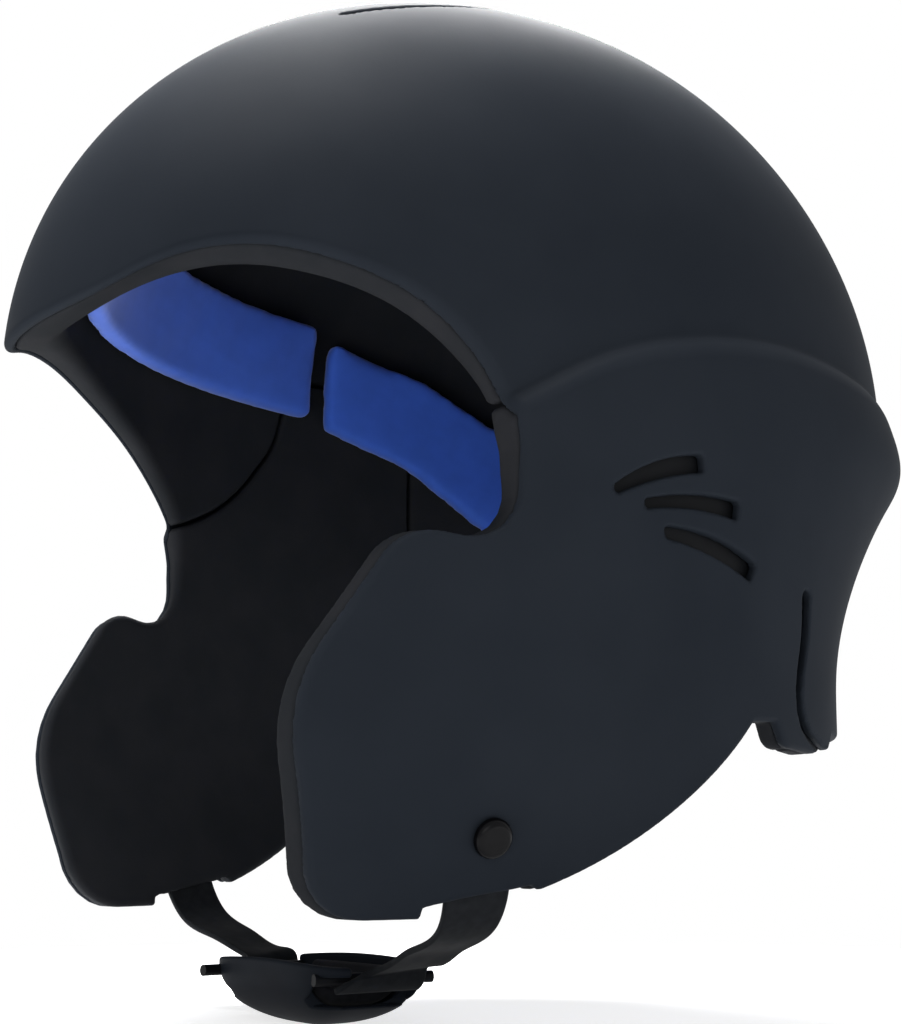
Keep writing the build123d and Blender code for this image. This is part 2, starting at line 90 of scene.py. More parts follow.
def roundCorners(points, radii, steps=7, closed=False):
    # straight runs joined by arcs, one radius for each inner corner
    points = [np.array(p, float) for p in points]
    path = [] if closed else [points[0]]
    count = len(points)
    corners = range(count) if closed else range(1, count - 1)
    for place, radius in zip(corners, radii):
        before, corner, after = points[place - 1], points[place], points[(place + 1) % count]
        a = (before - corner) / np.linalg.norm(before - corner)
        b = (after - corner) / np.linalg.norm(after - corner)
        half = math.acos(np.clip(a @ b, -1, 1)) / 2
        middle = (a + b) / np.linalg.norm(a + b)
        centre = corner + middle * radius / math.sin(half)
        start, end = corner + a * radius / math.tan(half), corner + b * radius / math.tan(half)
        for t in np.linspace(0, 1, steps):
            p = start * (1 - t) + end * t - centre
            path.append(centre + p / np.linalg.norm(p) * radius)
    return path if closed else path + [points[-1]]


def arcThrough(start, middle, end, steps):
    (ax, ay), (bx, by), (cx, cy) = start, middle, end
    d = 2 * (ax * (by - cy) + bx * (cy - ay) + cx * (ay - by))
    ux = ((ax**2 + ay**2) * (by - cy) + (bx**2 + by**2) * (cy - ay) + (cx**2 + cy**2) * (ay - by)) / d
    uy = ((ax**2 + ay**2) * (cx - bx) + (bx**2 + by**2) * (ax - cx) + (cx**2 + cy**2) * (bx - ax)) / d
    radius = math.hypot(ax - ux, ay - uy)
    angles = np.unwrap([math.atan2(y - uy, x - ux) for x, y in (start, middle, end)])
    return [(ux + radius * math.cos(t), uy + radius * math.sin(t))
            for t in np.linspace(angles[0], angles[2], steps)]


def outlineDistance(outline, margin=12.0, cell=0.5):
    # signed distance to a closed side-view outline, tabled once and read between its cells
    ring = np.array(outline, np.float32)
    low, high = ring.min(0) - margin, ring.max(0) + margin
    ys, zs = (np.arange(low[k], high[k] + cell, cell, dtype=np.float32) for k in (0, 1))
    y, z = np.meshgrid(ys, zs, indexing="ij")
    nearest = np.full(y.shape, 1e9, np.float32)
    inside = np.zeros(y.shape, bool)
    for (y0, z0), (y1, z1) in zip(ring, np.roll(ring, -1, axis=0)):
        dy, dz = y1 - y0, z1 - z0
        share = np.clip(((y - y0) * dy + (z - z0) * dz) / max(dy * dy + dz * dz, 1e-9), 0, 1)
        nearest = np.minimum(nearest, (y - y0 - share * dy) ** 2 + (z - z0 - share * dz) ** 2)
        if z0 != z1:
            inside ^= ((z0 > z) != (z1 > z)) & (y < (z - z0) * dy / (z1 - z0) + y0)
    table = np.sqrt(nearest) * np.where(inside, -1, 1)

    def read(y, z):
        v = np.clip((y - low[0]) / cell, 0, len(ys) - 1.001)
        w = np.clip((z - low[1]) / cell, 0, len(zs) - 1.001)
        i, j = v.astype(int), w.astype(int)
        v, w = v - i, w - j
        return ((1 - v) * (1 - w) * table[i, j] + v * (1 - w) * table[i + 1, j]
                + (1 - v) * w * table[i, j + 1] + v * w * table[i + 1, j + 1])

    return read


def roundMax(a, b, radius):
    # what two forms share, with a round edge where they meet
    return np.minimum(-radius, np.maximum(a, b)) + np.hypot(np.maximum(radius + a, 0),
                                                            np.maximum(radius + b, 0))


def roundMin(a, b, radius):
    # two forms together, with a hollow fillet where they meet
    return np.maximum(radius, np.minimum(a, b)) - np.hypot(np.maximum(radius - a, 0),
                                                           np.maximum(radius - b, 0))


meshing = {
    "stride": 3,  # first the field is read at every third grid place
    "closeBand": 7,  # then at each place within this many steps of the surface
    "keptBand": 3,  # steps of distance that the volume keeps
    "relaxing": 2,  # turns in which each point moves this share of the way to its neighbours' middle
    "pull": 0.6,
    "settleReach": 0.2,  # mm to each side, for the slope that moves a point and for its normal
    "normalReach": 0.3,
    "flattest": 0.2,  # keeps a shift short where the field has little slope
}


def fieldMesh(field, low, high, step):
    # skin of a form given as a distance field: drawn on a grid, then settled on the true form
    low = np.array(low, np.float32)
    stride, kept = meshing["stride"], meshing["keptBand"] * step
    axes = [np.arange(a, b + step, step, dtype=np.float32) for a, b in zip(low, high)]
    coarse = field(axes[0][::stride, None, None], axes[1][None, ::stride, None],
                   axes[2][None, None, ::stride])
    values = coarse.repeat(stride, 0).repeat(stride, 1).repeat(stride, 2)
    values = values[:len(axes[0]), :len(axes[1]), :len(axes[2])]
    near = np.nonzero(np.abs(values) < meshing["closeBand"] * step)
    values[near] = field(*(axis[place] for axis, place in zip(axes, near)))
    volume = openvdb.FloatGrid(kept)
    volume.copyFromArray(np.clip(values, -kept, kept).astype(np.float32), tolerance=0.0)
    points, quads = volume.convertToQuads(0.0)
    points = points.astype(np.float64) * step + low
    edges = np.concatenate([quads[:, [k, (k + 1) % 4]] for k in range(4)])
    touching = np.bincount(edges.ravel(), minlength=len(points))[:, None]

    def slopeAt(p, reach):
        shifts = np.eye(3) * reach
        return np.stack([(field(*(p + s).T) - field(*(p - s).T)) / (2 * reach) for s in shifts], 1)

    for turn in range(meshing["relaxing"] + 1):
        if turn < meshing["relaxing"]:
            total = np.zeros_like(points)
            for k in range(3):
                total[:, k] = (np.bincount(edges[:, 0], points[edges[:, 1], k], len(points))
                               + np.bincount(edges[:, 1], points[edges[:, 0], k], len(points)))
            points += meshing["pull"] * (total / touching - points)
        slope = slopeAt(points, meshing["settleReach"])
        steepness = np.maximum((slope ** 2).sum(1), meshing["flattest"])
        shift = np.clip(field(*points.T) / steepness, -step, step)
        points -= shift[:, None] * slope
    normals = slopeAt(points, meshing["normalReach"])
    normals /= np.maximum(np.linalg.norm(normals, axis=1), 1e-9)[:, None]
    corner = points[quads[:, :3]]
    facing = np.cross(corner[:, 1] - corner[:, 0], corner[:, 2] - corner[:, 0])
    if (facing * normals[quads[:, 0]]).sum() < 0:
        quads = quads[:, ::-1]
    return points, quads, normals


def meshObject(name, points, faces, normals=None):
    mesh = bpy.data.meshes.new(name)
    mesh.from_pydata((np.asarray(points) * mm).tolist(), [], np.asarray(faces).tolist())
    mesh.validate()
    mesh.shade_smooth()
    if normals is not None and len(mesh.vertices) == len(normals):
        mesh.normals_split_custom_set_from_vertices(normals.tolist())
    piece = bpy.data.objects.new(name, mesh)
    bpy.context.scene.collection.objects.link(piece)
    return piece


def mirrored(points, faces, normals=None):
    flip = np.array([-1, 1, 1])
    return points * flip, np.asarray(faces)[:, ::-1], None if normals is None else normals * flip


def roomFor(node, margin=3.0):
    # the space that a node takes, in mm, with a margin
    low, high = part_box(node)
    return np.array(low) / mm - margin, np.array(high) / mm + margin


def place(piece, body, nodes, slotName, material):
    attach(piece, body)
    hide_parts(*nodes)
    piece.data.materials.append(material)
    print(piece.name, len(piece.data.vertices), "points")


# materials


def addNode(tree, kind, settings=None, links=None):
    node = tree.nodes.new(kind)
    for name, value in (settings or {}).items():
        if isinstance(name, str) and hasattr(node, name):
            setattr(node, name, value)
        else:
            node.inputs[name].default_value = value
    for name, (source, output) in (links or {}).items():
        tree.links.new(source.outputs[output], node.inputs[name])
    return node


def perMm(sizeInMm):
    return 1 / (sizeInMm * mm)


def bandScale(repeatInMm):
    # a wave texture turns through 20 radians a unit, so this brings one band each repeat;
    # diagonal bands come out 1.15 times as far apart
    return 2 * math.pi / 20 * perMm(repeatInMm)


shadeSpan = (0.35, 0.65)  # the part of the noise over which one shade turns into the other


def makeFinish(name, finish):
    # a surface in two shades that drift into each other, with its relief and, where given, uneven gloss
    material = bpy.data.materials.new(name)
    material.use_nodes = True
    tree = material.node_tree
    tree.nodes.clear()
    spot = addNode(tree, "ShaderNodeTexCoord")
    onSpot = {"Vector": (spot, "Object")}
    cloud = addNode(tree, "ShaderNodeTexNoise", {"Scale": perMm(finish["cloudMm"]), "Detail": 3.0}, onSpot)
    shades = addNode(tree, "ShaderNodeValToRGB", None, {"Fac": (cloud, "Fac")})
    for step, at, hexColour in zip(shades.color_ramp.elements, shadeSpan, finish["shades"]):
        step.position, step.color = at, toLinear(hexColour)
    links = {"Base Color": (shades, "Color")}
    height = None
    for kind, output, settings in finish.get("relief", ()):
        layer = addNode(tree, kind, settings, onSpot)
        if height:  # a second layer multiplies the first
            layer = addNode(tree, "ShaderNodeMath", {"operation": "MULTIPLY"},
                            {0: height, 1: (layer, output)})
            output = "Value"
        height = (layer, output)
    if height:
        depth = {"Distance": finish["depthMm"] * mm, "Strength": finish["strength"]}
        bump = addNode(tree, "ShaderNodeBump", depth, {"Height": height})
        links["Normal"] = (bump, "Normal")
    if "gloss" in finish:
        smoothest, roughest, patchMm, detail = finish["gloss"]
        haze = addNode(tree, "ShaderNodeTexNoise", {"Scale": perMm(patchMm), "Detail": detail}, onSpot)
        gloss = addNode(tree, "ShaderNodeMapRange", {"To Min": smoothest, "To Max": roughest},
                        {"Value": (haze, "Fac")})
        links["Roughness"] = (gloss, "Result")
    surface = addNode(tree, "ShaderNodeBsdfPrincipled", finish["surface"], links)
    addNode(tree, "ShaderNodeOutputMaterial", None, {"Surface": (surface, "BSDF")})
    return material


# Specular IOR Level is low in the dark finishes, because the white surround greys them at their edges

# injection-moulded ABS with a fine spark-eroded texture: satin, blue-black, a soft wide highlight
mouldedShell = makeFinish("injectionMouldedAbs", {
    "surface": {"Roughness": 0.6, "IOR": 1.53, "Specular IOR Level": 0.015},
    "shades": ("#1d2127", "#20242a"), "cloudMm": 38.0,
    "relief": [("ShaderNodeTexNoise", "Fac", {"Scale": perMm(0.7), "Detail": 2.0, "Roughness": 0.6})],
    "depthMm": 0.05, "strength": 0.25,
    "gloss": (0.58, 0.66, 24.0, 4.0)})

# closed-cell EVA foam with a moulded skin: near black and dull, with a fine leathery pebble
skinnedFoam = makeFinish("mouldedEvaFoam", {
    "surface": {"Roughness": 0.75, "IOR": 1.48, "Specular IOR Level": 0.02},
    "shades": ("#1f2124", "#242528"), "cloudMm": 16.0,
    "relief": [("ShaderNodeTexVoronoi", "Distance", {"Scale": perMm(0.9), "feature": "SMOOTH_F1"})],
    "depthMm": 0.12, "strength": 0.3})

# warp-knit nylon over foam: saturated blue with a velvety sheen; its rows and stitches are drawn
# 7 and 8 mm apart, far coarser than real ones of about 1 mm, which would be very fine in the render
knitOverFoam = makeFinish("warpKnitNylon", {
    "surface": {"Roughness": 0.82, "IOR": 1.5, "Sheen Weight": 0.25, "Sheen Roughness": 0.5},
    "shades": ("#2453b6", "#2958c0"), "cloudMm": 9.0,
    "relief": [
        ("ShaderNodeTexWave", "Fac", {"Scale": bandScale(6.91), "bands_direction": "Z", "Distortion": 0.6,
                                      "Detail Scale": 2.0}),
        ("ShaderNodeTexWave", "Fac", {"Scale": bandScale(6.91), "bands_direction": "DIAGONAL",
                                      "Distortion": 0.6})],
    "depthMm": 0.15, "strength": 0.35})

# woven polyester tape: black and dull; its ribs and twill, about 1.5 mm apart on real tape, are drawn
# 8 and 12 mm apart, far coarser
wovenTape = makeFinish("wovenPolyester", {
    "surface": {"Roughness": 0.8, "IOR": 1.5, "Specular IOR Level": 0.05, "Sheen Weight": 0.03},
    "shades": ("#17191c", "#1e2023"), "cloudMm": 2.5,
    "relief": [
        ("ShaderNodeTexWave", "Fac", {"Scale": bandScale(8.17), "bands_direction": "Y", "Distortion": 0.3}),
        ("ShaderNodeTexWave", "Fac", {"Scale": bandScale(10.05), "bands_direction": "DIAGONAL"})],
    "depthMm": 0.25, "strength": 0.5})

# moulded thermoplastic rubber: soft dark grey, a broad dull highlight
mouldedCup = makeFinish("mouldedRubber", {
    "surface": {"Roughness": 0.6, "IOR": 1.52, "Specular IOR Level": 0.03},
    "shades": ("#15181e", "#191d23"), "cloudMm": 12.0,
    "relief": [("ShaderNodeTexNoise", "Fac", {"Scale": perMm(0.5), "Detail": 2.0})],
    "depthMm": 0.05, "strength": 0.3})

# brushed knit lining: black and soft
softLining = makeFinish("brushedKnit", {
    "surface": {"Roughness": 0.9, "IOR": 1.5, "Specular IOR Level": 0.1, "Sheen Weight": 0.05},
    "shades": ("#131417", "#191a1e"), "cloudMm": 2.0,
    "relief": [("ShaderNodeTexNoise", "Fac", {"Scale": perMm(0.6), "Detail": 4.0})],
    "depthMm": 0.15, "strength": 0.5})

# vent baffle: die-cut polypropylene sheet, black and matt
baffleSheet = makeFinish("dieCutPolypropylene", {
    "surface": {"Roughness": 0.6, "IOR": 1.49, "Specular IOR Level": 0.12},
    "shades": ("#0a0b0e", "#0d0f12"), "cloudMm": 6.0,
    "relief": [("ShaderNodeTexNoise", "Fac", {"Scale": perMm(0.6), "Detail": 2.0})],
    "depthMm": 0.06, "strength": 0.3})

# hook tape: black nylon, a stubble of small hooks
hookTape = makeFinish("mouldedHookTape", {
    "surface": {"Roughness": 0.7, "IOR": 1.5, "Specular IOR Level": 0.12},
    "shades": ("#0f1013", "#17181b"), "cloudMm": 1.5,
    "relief": [("ShaderNodeTexVoronoi", "Distance", {"Scale": perMm(1.2)})],
    "depthMm": 0.4, "strength": 0.8})

# snap cap: polished black acetal with a tight highlight and faint rub marks
snapCap = makeFinish("polishedAcetal", {
    "surface": {"Roughness": 0.2, "IOR": 1.48, "Specular IOR Level": 0.08},
    "shades": ("#08080a", "#0b0b0d"), "cloudMm": 3.0,
    "gloss": (0.14, 0.3, 1.0, 6.0)})

# turned stainless steel for washers and eyelets: grey and finely marked
turnedSteel = makeFinish("turnedStainless", {
    "surface": {"Metallic": 1.0, "Roughness": 0.32},
    "shades": ("#9a9a9b", "#b0b0b2"), "cloudMm": 1.5,
    "relief": [("ShaderNodeTexNoise", "Fac", {"Scale": perMm(0.4), "Detail": 3.0})],
    "depthMm": 0.02, "strength": 0.3})

# clamp bars: moulded nylon, black, a little sheen
mouldedBar = makeFinish("mouldedNylon", {
    "surface": {"Roughness": 0.5, "IOR": 1.53, "Specular IOR Level": 0.05},
    "shades": ("#0f1013", "#131417"), "cloudMm": 3.0,
    "relief": [("ShaderNodeTexNoise", "Fac", {"Scale": perMm(0.5), "Detail": 2.0})],
    "depthMm": 0.04, "strength": 0.3})

# outer shell: dome, raised side panel and ear guard

shellForm = {
    "dome": (102.4, 145.2, 136.8, 125.7),  # half width, front reach, rear reach, half height
    "domeCentre": 27.4,
    "domeSkirt": 3.0,
    "flareLevels": [  # height, half width, front reach, rear reach
        (-118, 78.5, 172, 107.5), (-95, 88.5, 176, 107.4), (-72, 96, 176, 107.2),
        (-50, 99.5, 165, 105), (-26, 102.5, 150, 113), (-9, 104.6, 143, 124.6),
        (4, 106, 145, 136.1), (14.5, 106.6, 146, 144.1), (24, 106.7, 147, 140.5),
        (34, 106.2, 147, 134), (50, 104.8, 146, 130)],
    "ridge": [(-61, 0.9), (-40.5, 12.7), (-11, 22.4), (27, 27.4), (65, 28.4), (100, 29.4)],
    "ridgeApex": 140.0,
    "ridgeSoftness": 1.9,
    "ledgeSoftness": 0.6,
    "wall": 3.0,
    "innerEdge": 0.6,
    "gridStep": 0.9,
    "browEdge": 2.4,
    "guardEdge": 1.3,
    "browInset": 1.8,  # how far the shell stops short of the liner's edge
    "guardInset": 1.5,
    "vents": [  # upper edge front to rear, then lower edge rear to front
        [(-35.6, -14.6), (-21, -6.4), (-9.6, -4), (-8.8, -8.3), (-20.5, -10.8), (-33.9, -16.2)],
        [(-26.4, -16.6), (-11, -13.9), (3.6, -14), (3, -18.7), (-11, -17.5), (-26.2, -19)],
        [(-20.4, -22.5), (-4.8, -23.6), (10.9, -28.8), (8.9, -33.3), (-5, -28.2), (-19.7, -25.4)]],
    "slit": [(34.9, -34.5), (35.5, -44), (33.9, -54), (33.8, -60.5), (37, -66.5), (43, -70), (64, -74.5)],
    "napeArch": [(-44, -67.5), (0, -50.5), (44, -67.5)],  # seen from behind: x, z
    "archStart": 62.0,
    "ventCorner": 0.7,
    "slitWidths": (4.6, 2.6),  # at its upper and lower ends
    "slitNarrowing": 1.6,  # how soon it reaches its lower width
    "crownSlot": [(39.6, -74.6), (45.5, -53), (46.3, -30.3)],  # in plan, x then y
    "crownSlotWidths": (2.7, 0.45),
    "crownSlotNarrowing": 1.5,
    "ventReach": 80.0,  # the vents are cut only further out than this, and the slit likewise
    "slitReach": 30.0,
    "crownSlotFloor": 60.0,  # the crown slots are cut only above this
    "ventRound": 0.8,
    "crownSlotRound": 0.6,
    "archRound": 3.0,
    "ridgeEnds": (-30.0, 29.8),  # its height in front and behind
    "browFoot": -12.0,  # above this height the edge turns from guard to brow, over the blend
    "browBlend": 16.0,
    "guardFront": -50.0,  # ahead of this the guards' edge is set back, over the blend
    "guardFrontBlend": 12.0,
    "guardFoot": -114.0,
    "guardFootBlend": 14.0,
}

brow = [(-147, 28.4), (-137.8, 31.2), (-128, 37), (-114, 39.8), (-98, 35.8), (-81, 26.8),
        (-69, 15.2), (-61.7, 3.2), (-58.9, -7)]
guardFront = [(-58.6, -14), (-58.6, -29.2), (-84.2, -25.2), (-110.2, -66), (-97.4, -114.6),
              (-71.2, -114.3)]
strapNotch = [(-70.8, -112), (-44.6, -106.9), (-42.3, -108)]
tail = [(13.8, -67.5), (23.4, -66.9), (28.2, -72.9), (44, -73.8), (57.6, -72.4), (60.4, -67.5)]
guardRadii, tailRadii = [11, 13, 34, 17], [1.2, 7, 10, 3]
earSweep = (-13, -92.9)  # halfway along the edge that climbs from the guard to the tail
farOff = 175.0

helmetOutline = [
    *[tuple(p) for p in pathThrough(brow, 60)],
    *roundCorners(guardFront, guardRadii),
    *strapNotch,
    *arcThrough(strapNotch[-1], earSweep, tail[0], 24),
    *roundCorners(tail, tailRadii)[1:],
    (farOff, tail[-1][1]), (farOff, farOff), (-farOff, farOff), (-farOff, brow[0][1])]
profileDistance = outlineDistance(helmetOutline, margin=4)

flareCurves = [smoothCurve([level[0] for level in shellForm["flareLevels"]],
                           [level[k] for level in shellForm["flareLevels"]]) for k in (1, 2, 3)]


def levelDistance(x, y, z, curves):
    halfWidth, front, rear = (curve(z) for curve in curves)
    reach = np.where(y < 0, front, rear)
    size = np.sqrt((x / halfWidth) ** 2 + (y / reach) ** 2)
    return size * (size - 1) / np.maximum(np.sqrt((x / halfWidth ** 2) ** 2 + (y / reach ** 2) ** 2), 1e-6)


def eggDistance(x, y, z, egg, centre):
    halfWidth, front, rear, halfHeight = egg
    reach = np.where(y < 0, front, rear)
    up = z - centre
    size = np.sqrt((x / halfWidth) ** 2 + (y / reach) ** 2 + (up / halfHeight) ** 2)
    steep = np.sqrt((x / halfWidth**2) ** 2 + (y / reach**2) ** 2 + (up / halfHeight**2) ** 2)
    return size * (size - 1) / np.maximum(steep, 1e-6)


def ridgeSpread():
    # how far the ridge cone opens, by direction round the helmet from front to rear
    turns, spreads = [], []
    for y, z in shellForm["ridge"]:
        reach = flareCurves[1 if y < 0 else 2](z)
        x = flareCurves[0](z) * math.sqrt(1 - (y / reach) ** 2)
        turns.append(math.atan2(y, x))
        spreads.append(math.hypot(x, y) / (shellForm["ridgeApex"] - z))
    front, rear = shellForm["ridgeEnds"]
    frontSpread = flareCurves[1](front) / (shellForm["ridgeApex"] - front)
    rearSpread = flareCurves[2](rear) / (shellForm["ridgeApex"] - rear)
    turns = [-math.pi / 2, *turns, math.pi / 2]
    return smoothCurve(turns, [frontSpread, *spreads, rearSpread])


spreadAt = ridgeSpread()


def bodyDistance(x, y, z):
    dome = eggDistance(x, y, z, shellForm["dome"], shellForm["domeCentre"])
    flare = levelDistance(x, y, z, flareCurves)
    spread = spreadAt(np.arctan2(y, np.abs(x)))
    cone = (np.hypot(x, y) - spread * (shellForm["ridgeApex"] - z)) / np.sqrt(1 + spread ** 2)
    filled = roundMin(dome, cone, shellForm["ledgeSoftness"])
    upper = np.maximum(dome, shellForm["domeSkirt"] - z)
    return np.minimum(upper, roundMax(filled, flare, shellForm["ridgeSoftness"]))


def taperedLine(points, widthAt):
    # distance from a bent line in a plane, its width given by how far along it a place lies
    def read(a, b):
        nearest, count = 1e9, len(points) - 1
        for i, ((a0, b0), (a1, b1)) in enumerate(zip(points, points[1:])):
            da, db = a1 - a0, b1 - b0
            share = np.clip(((a - a0) * da + (b - b0) * db) / (da * da + db * db), 0, 1)
            reach = np.hypot(a - a0 - share * da, b - b0 - share * db)
            nearest = np.minimum(nearest, reach - widthAt((i + share) / count) / 2)
        return nearest
    return read


ventDistances = [
    outlineDistance(roundCorners([*arcThrough(*vent[:3], 9), *arcThrough(*vent[3:], 9)],
                                 [shellForm["ventCorner"]] * 18, steps=2, closed=True), margin=8, cell=0.25)
    for vent in shellForm["vents"]]
slitStart, slitEnd = shellForm["slitWidths"]
slitDistance = taperedLine([tuple(p) for p in pathThrough(shellForm["slit"], 14)],
                           lambda along: slitStart + (slitEnd - slitStart)
                           * np.minimum(1, shellForm["slitNarrowing"] * along))
slotStart, slotEnd = shellForm["crownSlotWidths"]
crownSlotDistance = taperedLine([tuple(p) for p in pathThrough(shellForm["crownSlot"], 7)],
                                lambda along: slotStart + (slotEnd - slotStart)
                                * along ** shellForm["crownSlotNarrowing"])
napeArch = shellForm["napeArch"]
archDistance = outlineDistance(
    [*arcThrough(*napeArch, 30), (napeArch[-1][0], -farOff), (napeArch[0][0], -farOff)], margin=6)


def browShare(z):
    return np.clip((z - shellForm["browFoot"]) / shellForm["browBlend"], 0, 1)


def edgeSoftness(z, brow, guard):
    # one radius along the brow, another round the guards
    return guard + (brow - guard) * browShare(z)


def edgeDistance(x, y, z):
    # the helmet's edge: its side-view outline, and the arch over the neck behind
    arch = np.maximum(archDistance(x, z), shellForm["archStart"] - y)
    return roundMax(profileDistance(y, z), -arch, shellForm["archRound"])


def shellInset(y, z):
    # along the brow, and down the front of each guard, fading out at its foot
    share = browShare(z)
    front = np.clip((shellForm["guardFront"] - y) / shellForm["guardFrontBlend"], 0, 1)
    front = front * np.clip((z - shellForm["guardFoot"]) / shellForm["guardFootBlend"], 0, 1)
    return shellForm["guardInset"] * front * (1 - share) + shellForm["browInset"] * share


def shellDistance(x, y, z):
    body = bodyDistance(x, y, z)
    edge = edgeDistance(x, y, z) + shellInset(y, z)
    form = roundMax(body, edge, edgeSoftness(z, shellForm["browEdge"], shellForm["guardEdge"]))
    side = np.abs(x)
    for vent in ventDistances:
        form = roundMax(form, -np.maximum(vent(y, z), shellForm["ventReach"] - side), shellForm["ventRound"])
    slit = np.maximum(slitDistance(y, z), shellForm["slitReach"] - side)
    form = roundMax(form, -slit, shellForm["ventRound"])
    slot = np.maximum(crownSlotDistance(side, y), shellForm["crownSlotFloor"] - z)
    form = roundMax(form, -slot, shellForm["crownSlotRound"])
    inner = -(body + shellForm["wall"])
    return roundMax(form, inner, shellForm["innerEdge"])


shellMesh = fieldMesh(shellDistance, *roomFor("outer_shell"), shellForm["gridStep"])
place(meshObject("outerShell", *shellMesh), "helmet", ["outer_shell"], "shell", mouldedShell)

# foam liner: crown, ears and nape, parted by seams

linerForm = {
    "outerGap": 3.15,
    "cavityLevels": [  # height, half width, front reach, rear reach
        (-118, 67.5, 163, 96), (-95, 78.5, 167, 96), (-72, 86.5, 167, 96), (-50, 91, 156, 95),
        (-26, 93.5, 142, 99), (-5, 93.5, 133, 108), (12, 93.2, 130, 112), (27.4, 93, 129, 113)],
    "cavityHalfHeight": 109.0,
    "outerEdge": 0.9,
    "rollDepth": 10.0,  # the rim slopes out from the shell's edge, and at this depth meets the outline
    "rollSlope": 1.4,
    "rollSpan": 14.0,
    "browRoll": 5.0,
    "guardRoll": 3.0,
    "seam": [(-130, -2), (-60, 3.4), (-38, 14), (-20, 38), (-16, 62), (24, 62), (70, 24), (175, 16),
             (175, -160), (-130, -160)],
    "seamRadii": [6, 40, 60, 25, 14, 30, 40, 1, 1, 1],
    "seamGap": 0.55,
    "seamSoftness": 1.4,
    "napeStart": 34.3,
    "bafflePocket": 1.9,
    "baffleMargin": 4.5,
    "gridStep": 1.15,
}

cavityCurves = [smoothCurve([level[0] for level in linerForm["cavityLevels"]],
                            [level[k] for level in linerForm["cavityLevels"]]) for k in (1, 2, 3)]
cavityTop = (*linerForm["cavityLevels"][-1][1:], linerForm["cavityHalfHeight"])
seamLine = roundCorners(linerForm["seam"], linerForm["seamRadii"], closed=True)
seamDistance = outlineDistance(seamLine, margin=40)


def cavityDistance(x, y, z):
    middle = shellForm["domeCentre"]
    lower = levelDistance(x, y, np.minimum(z, middle), cavityCurves)
    return np.where(z < middle, lower, eggDistance(x, y, np.maximum(z, middle), cavityTop, middle))


# strap plane: it stands across the webbing and runs down each side
strapFrame = {
    "origin": (0.0, -49.3),
    "across": (0.9931, -0.1173),
    "rivetHeight": -96.3,
    "width": 19.0,
    "pocketWidth": 28.0,
    "pocketTop": 12.0,
    "pocketDepth": 7.5,
    "pocketRound": 1.2,
}


def strapPlace(x, y):
    # reach across the head and place along the webbing's width, + to the rear
    side, back = np.abs(x) - strapFrame["origin"][0], y - strapFrame["origin"][1]
    a, b = strapFrame["across"]
    return side * a + back * b, back * a - side * b


def linerDistance(x, y, z):
    body = bodyDistance(x, y, z)
    rolled = 1 - np.clip(-body, 0, linerForm["rollSpan"]) / linerForm["rollDepth"]
    edge = edgeDistance(x, y, z) + linerForm["rollSlope"] * shellInset(y, z) * rolled
    side = np.abs(x)
    outer = body + linerForm["outerGap"]
    vents = np.minimum(np.minimum(ventDistances[0](y, z), ventDistances[1](y, z)), ventDistances[2](y, z))
    pocket = np.maximum(vents - linerForm["baffleMargin"], shellForm["ventReach"] - side)
    slot = crownSlotDistance(side, y) - linerForm["baffleMargin"]
    pocket = np.minimum(pocket, np.maximum(slot, shellForm["crownSlotFloor"] - z))
    outer = np.maximum(outer, np.minimum(outer + linerForm["bafflePocket"], -pocket))
    form = roundMax(outer, edge, linerForm["outerEdge"])
    roll = edgeSoftness(z, linerForm["browRoll"], linerForm["guardRoll"])
    form = roundMax(form, -cavityDistance(x, y, z), roll)
    reach, back = strapPlace(x, y)
    strapRoom = np.maximum(np.abs(back) - strapFrame["pocketWidth"] / 2,
                           z - strapFrame["rivetHeight"] - strapFrame["pocketTop"])
    strapRoom = np.maximum(strapRoom, -(body + strapFrame["pocketDepth"]))
    return roundMax(form, -strapRoom, strapFrame["pocketRound"])


def crownLinerDistance(x, y, z):
    above = linerForm["seamGap"] - seamDistance(y, z)
    return roundMax(linerDistance(x, y, z), above, linerForm["seamSoftness"])


def lowerLinerDistance(x, y, z):
    below = linerForm["seamGap"] + seamDistance(y, z)
    return roundMax(linerDistance(x, y, z), below, linerForm["seamSoftness"])


def earLinerDistance(x, y, z):
    ear = np.maximum(y - linerForm["napeStart"] + linerForm["seamGap"], -x)
    return roundMax(lowerLinerDistance(x, y, z), ear, linerForm["seamSoftness"])


def napeLinerDistance(x, y, z):
    nape = linerForm["napeStart"] + linerForm["seamGap"] - y
    return roundMax(lowerLinerDistance(x, y, z), nape, linerForm["seamSoftness"])


for name, field, node in (("crownLiner", crownLinerDistance, "crown_liner"),
                          ("napeLiner", napeLinerDistance, "nape_liner")):
    piece = meshObject(name, *fieldMesh(field, *roomFor(node), linerForm["gridStep"]))
    place(piece, "helmet", [node], "liner", skinnedFoam)
leftEar = fieldMesh(earLinerDistance, *roomFor("ear_liner_left"), linerForm["gridStep"])
place(meshObject("earLinerLeft", *leftEar), "helmet", ["ear_liner_left"], "liner", skinnedFoam)
place(meshObject("earLinerRight", *mirrored(*leftEar)), "helmet", ["ear_liner_right"], "liner", skinnedFoam)

# fit pads: knit over foam, filled by cloth simulation

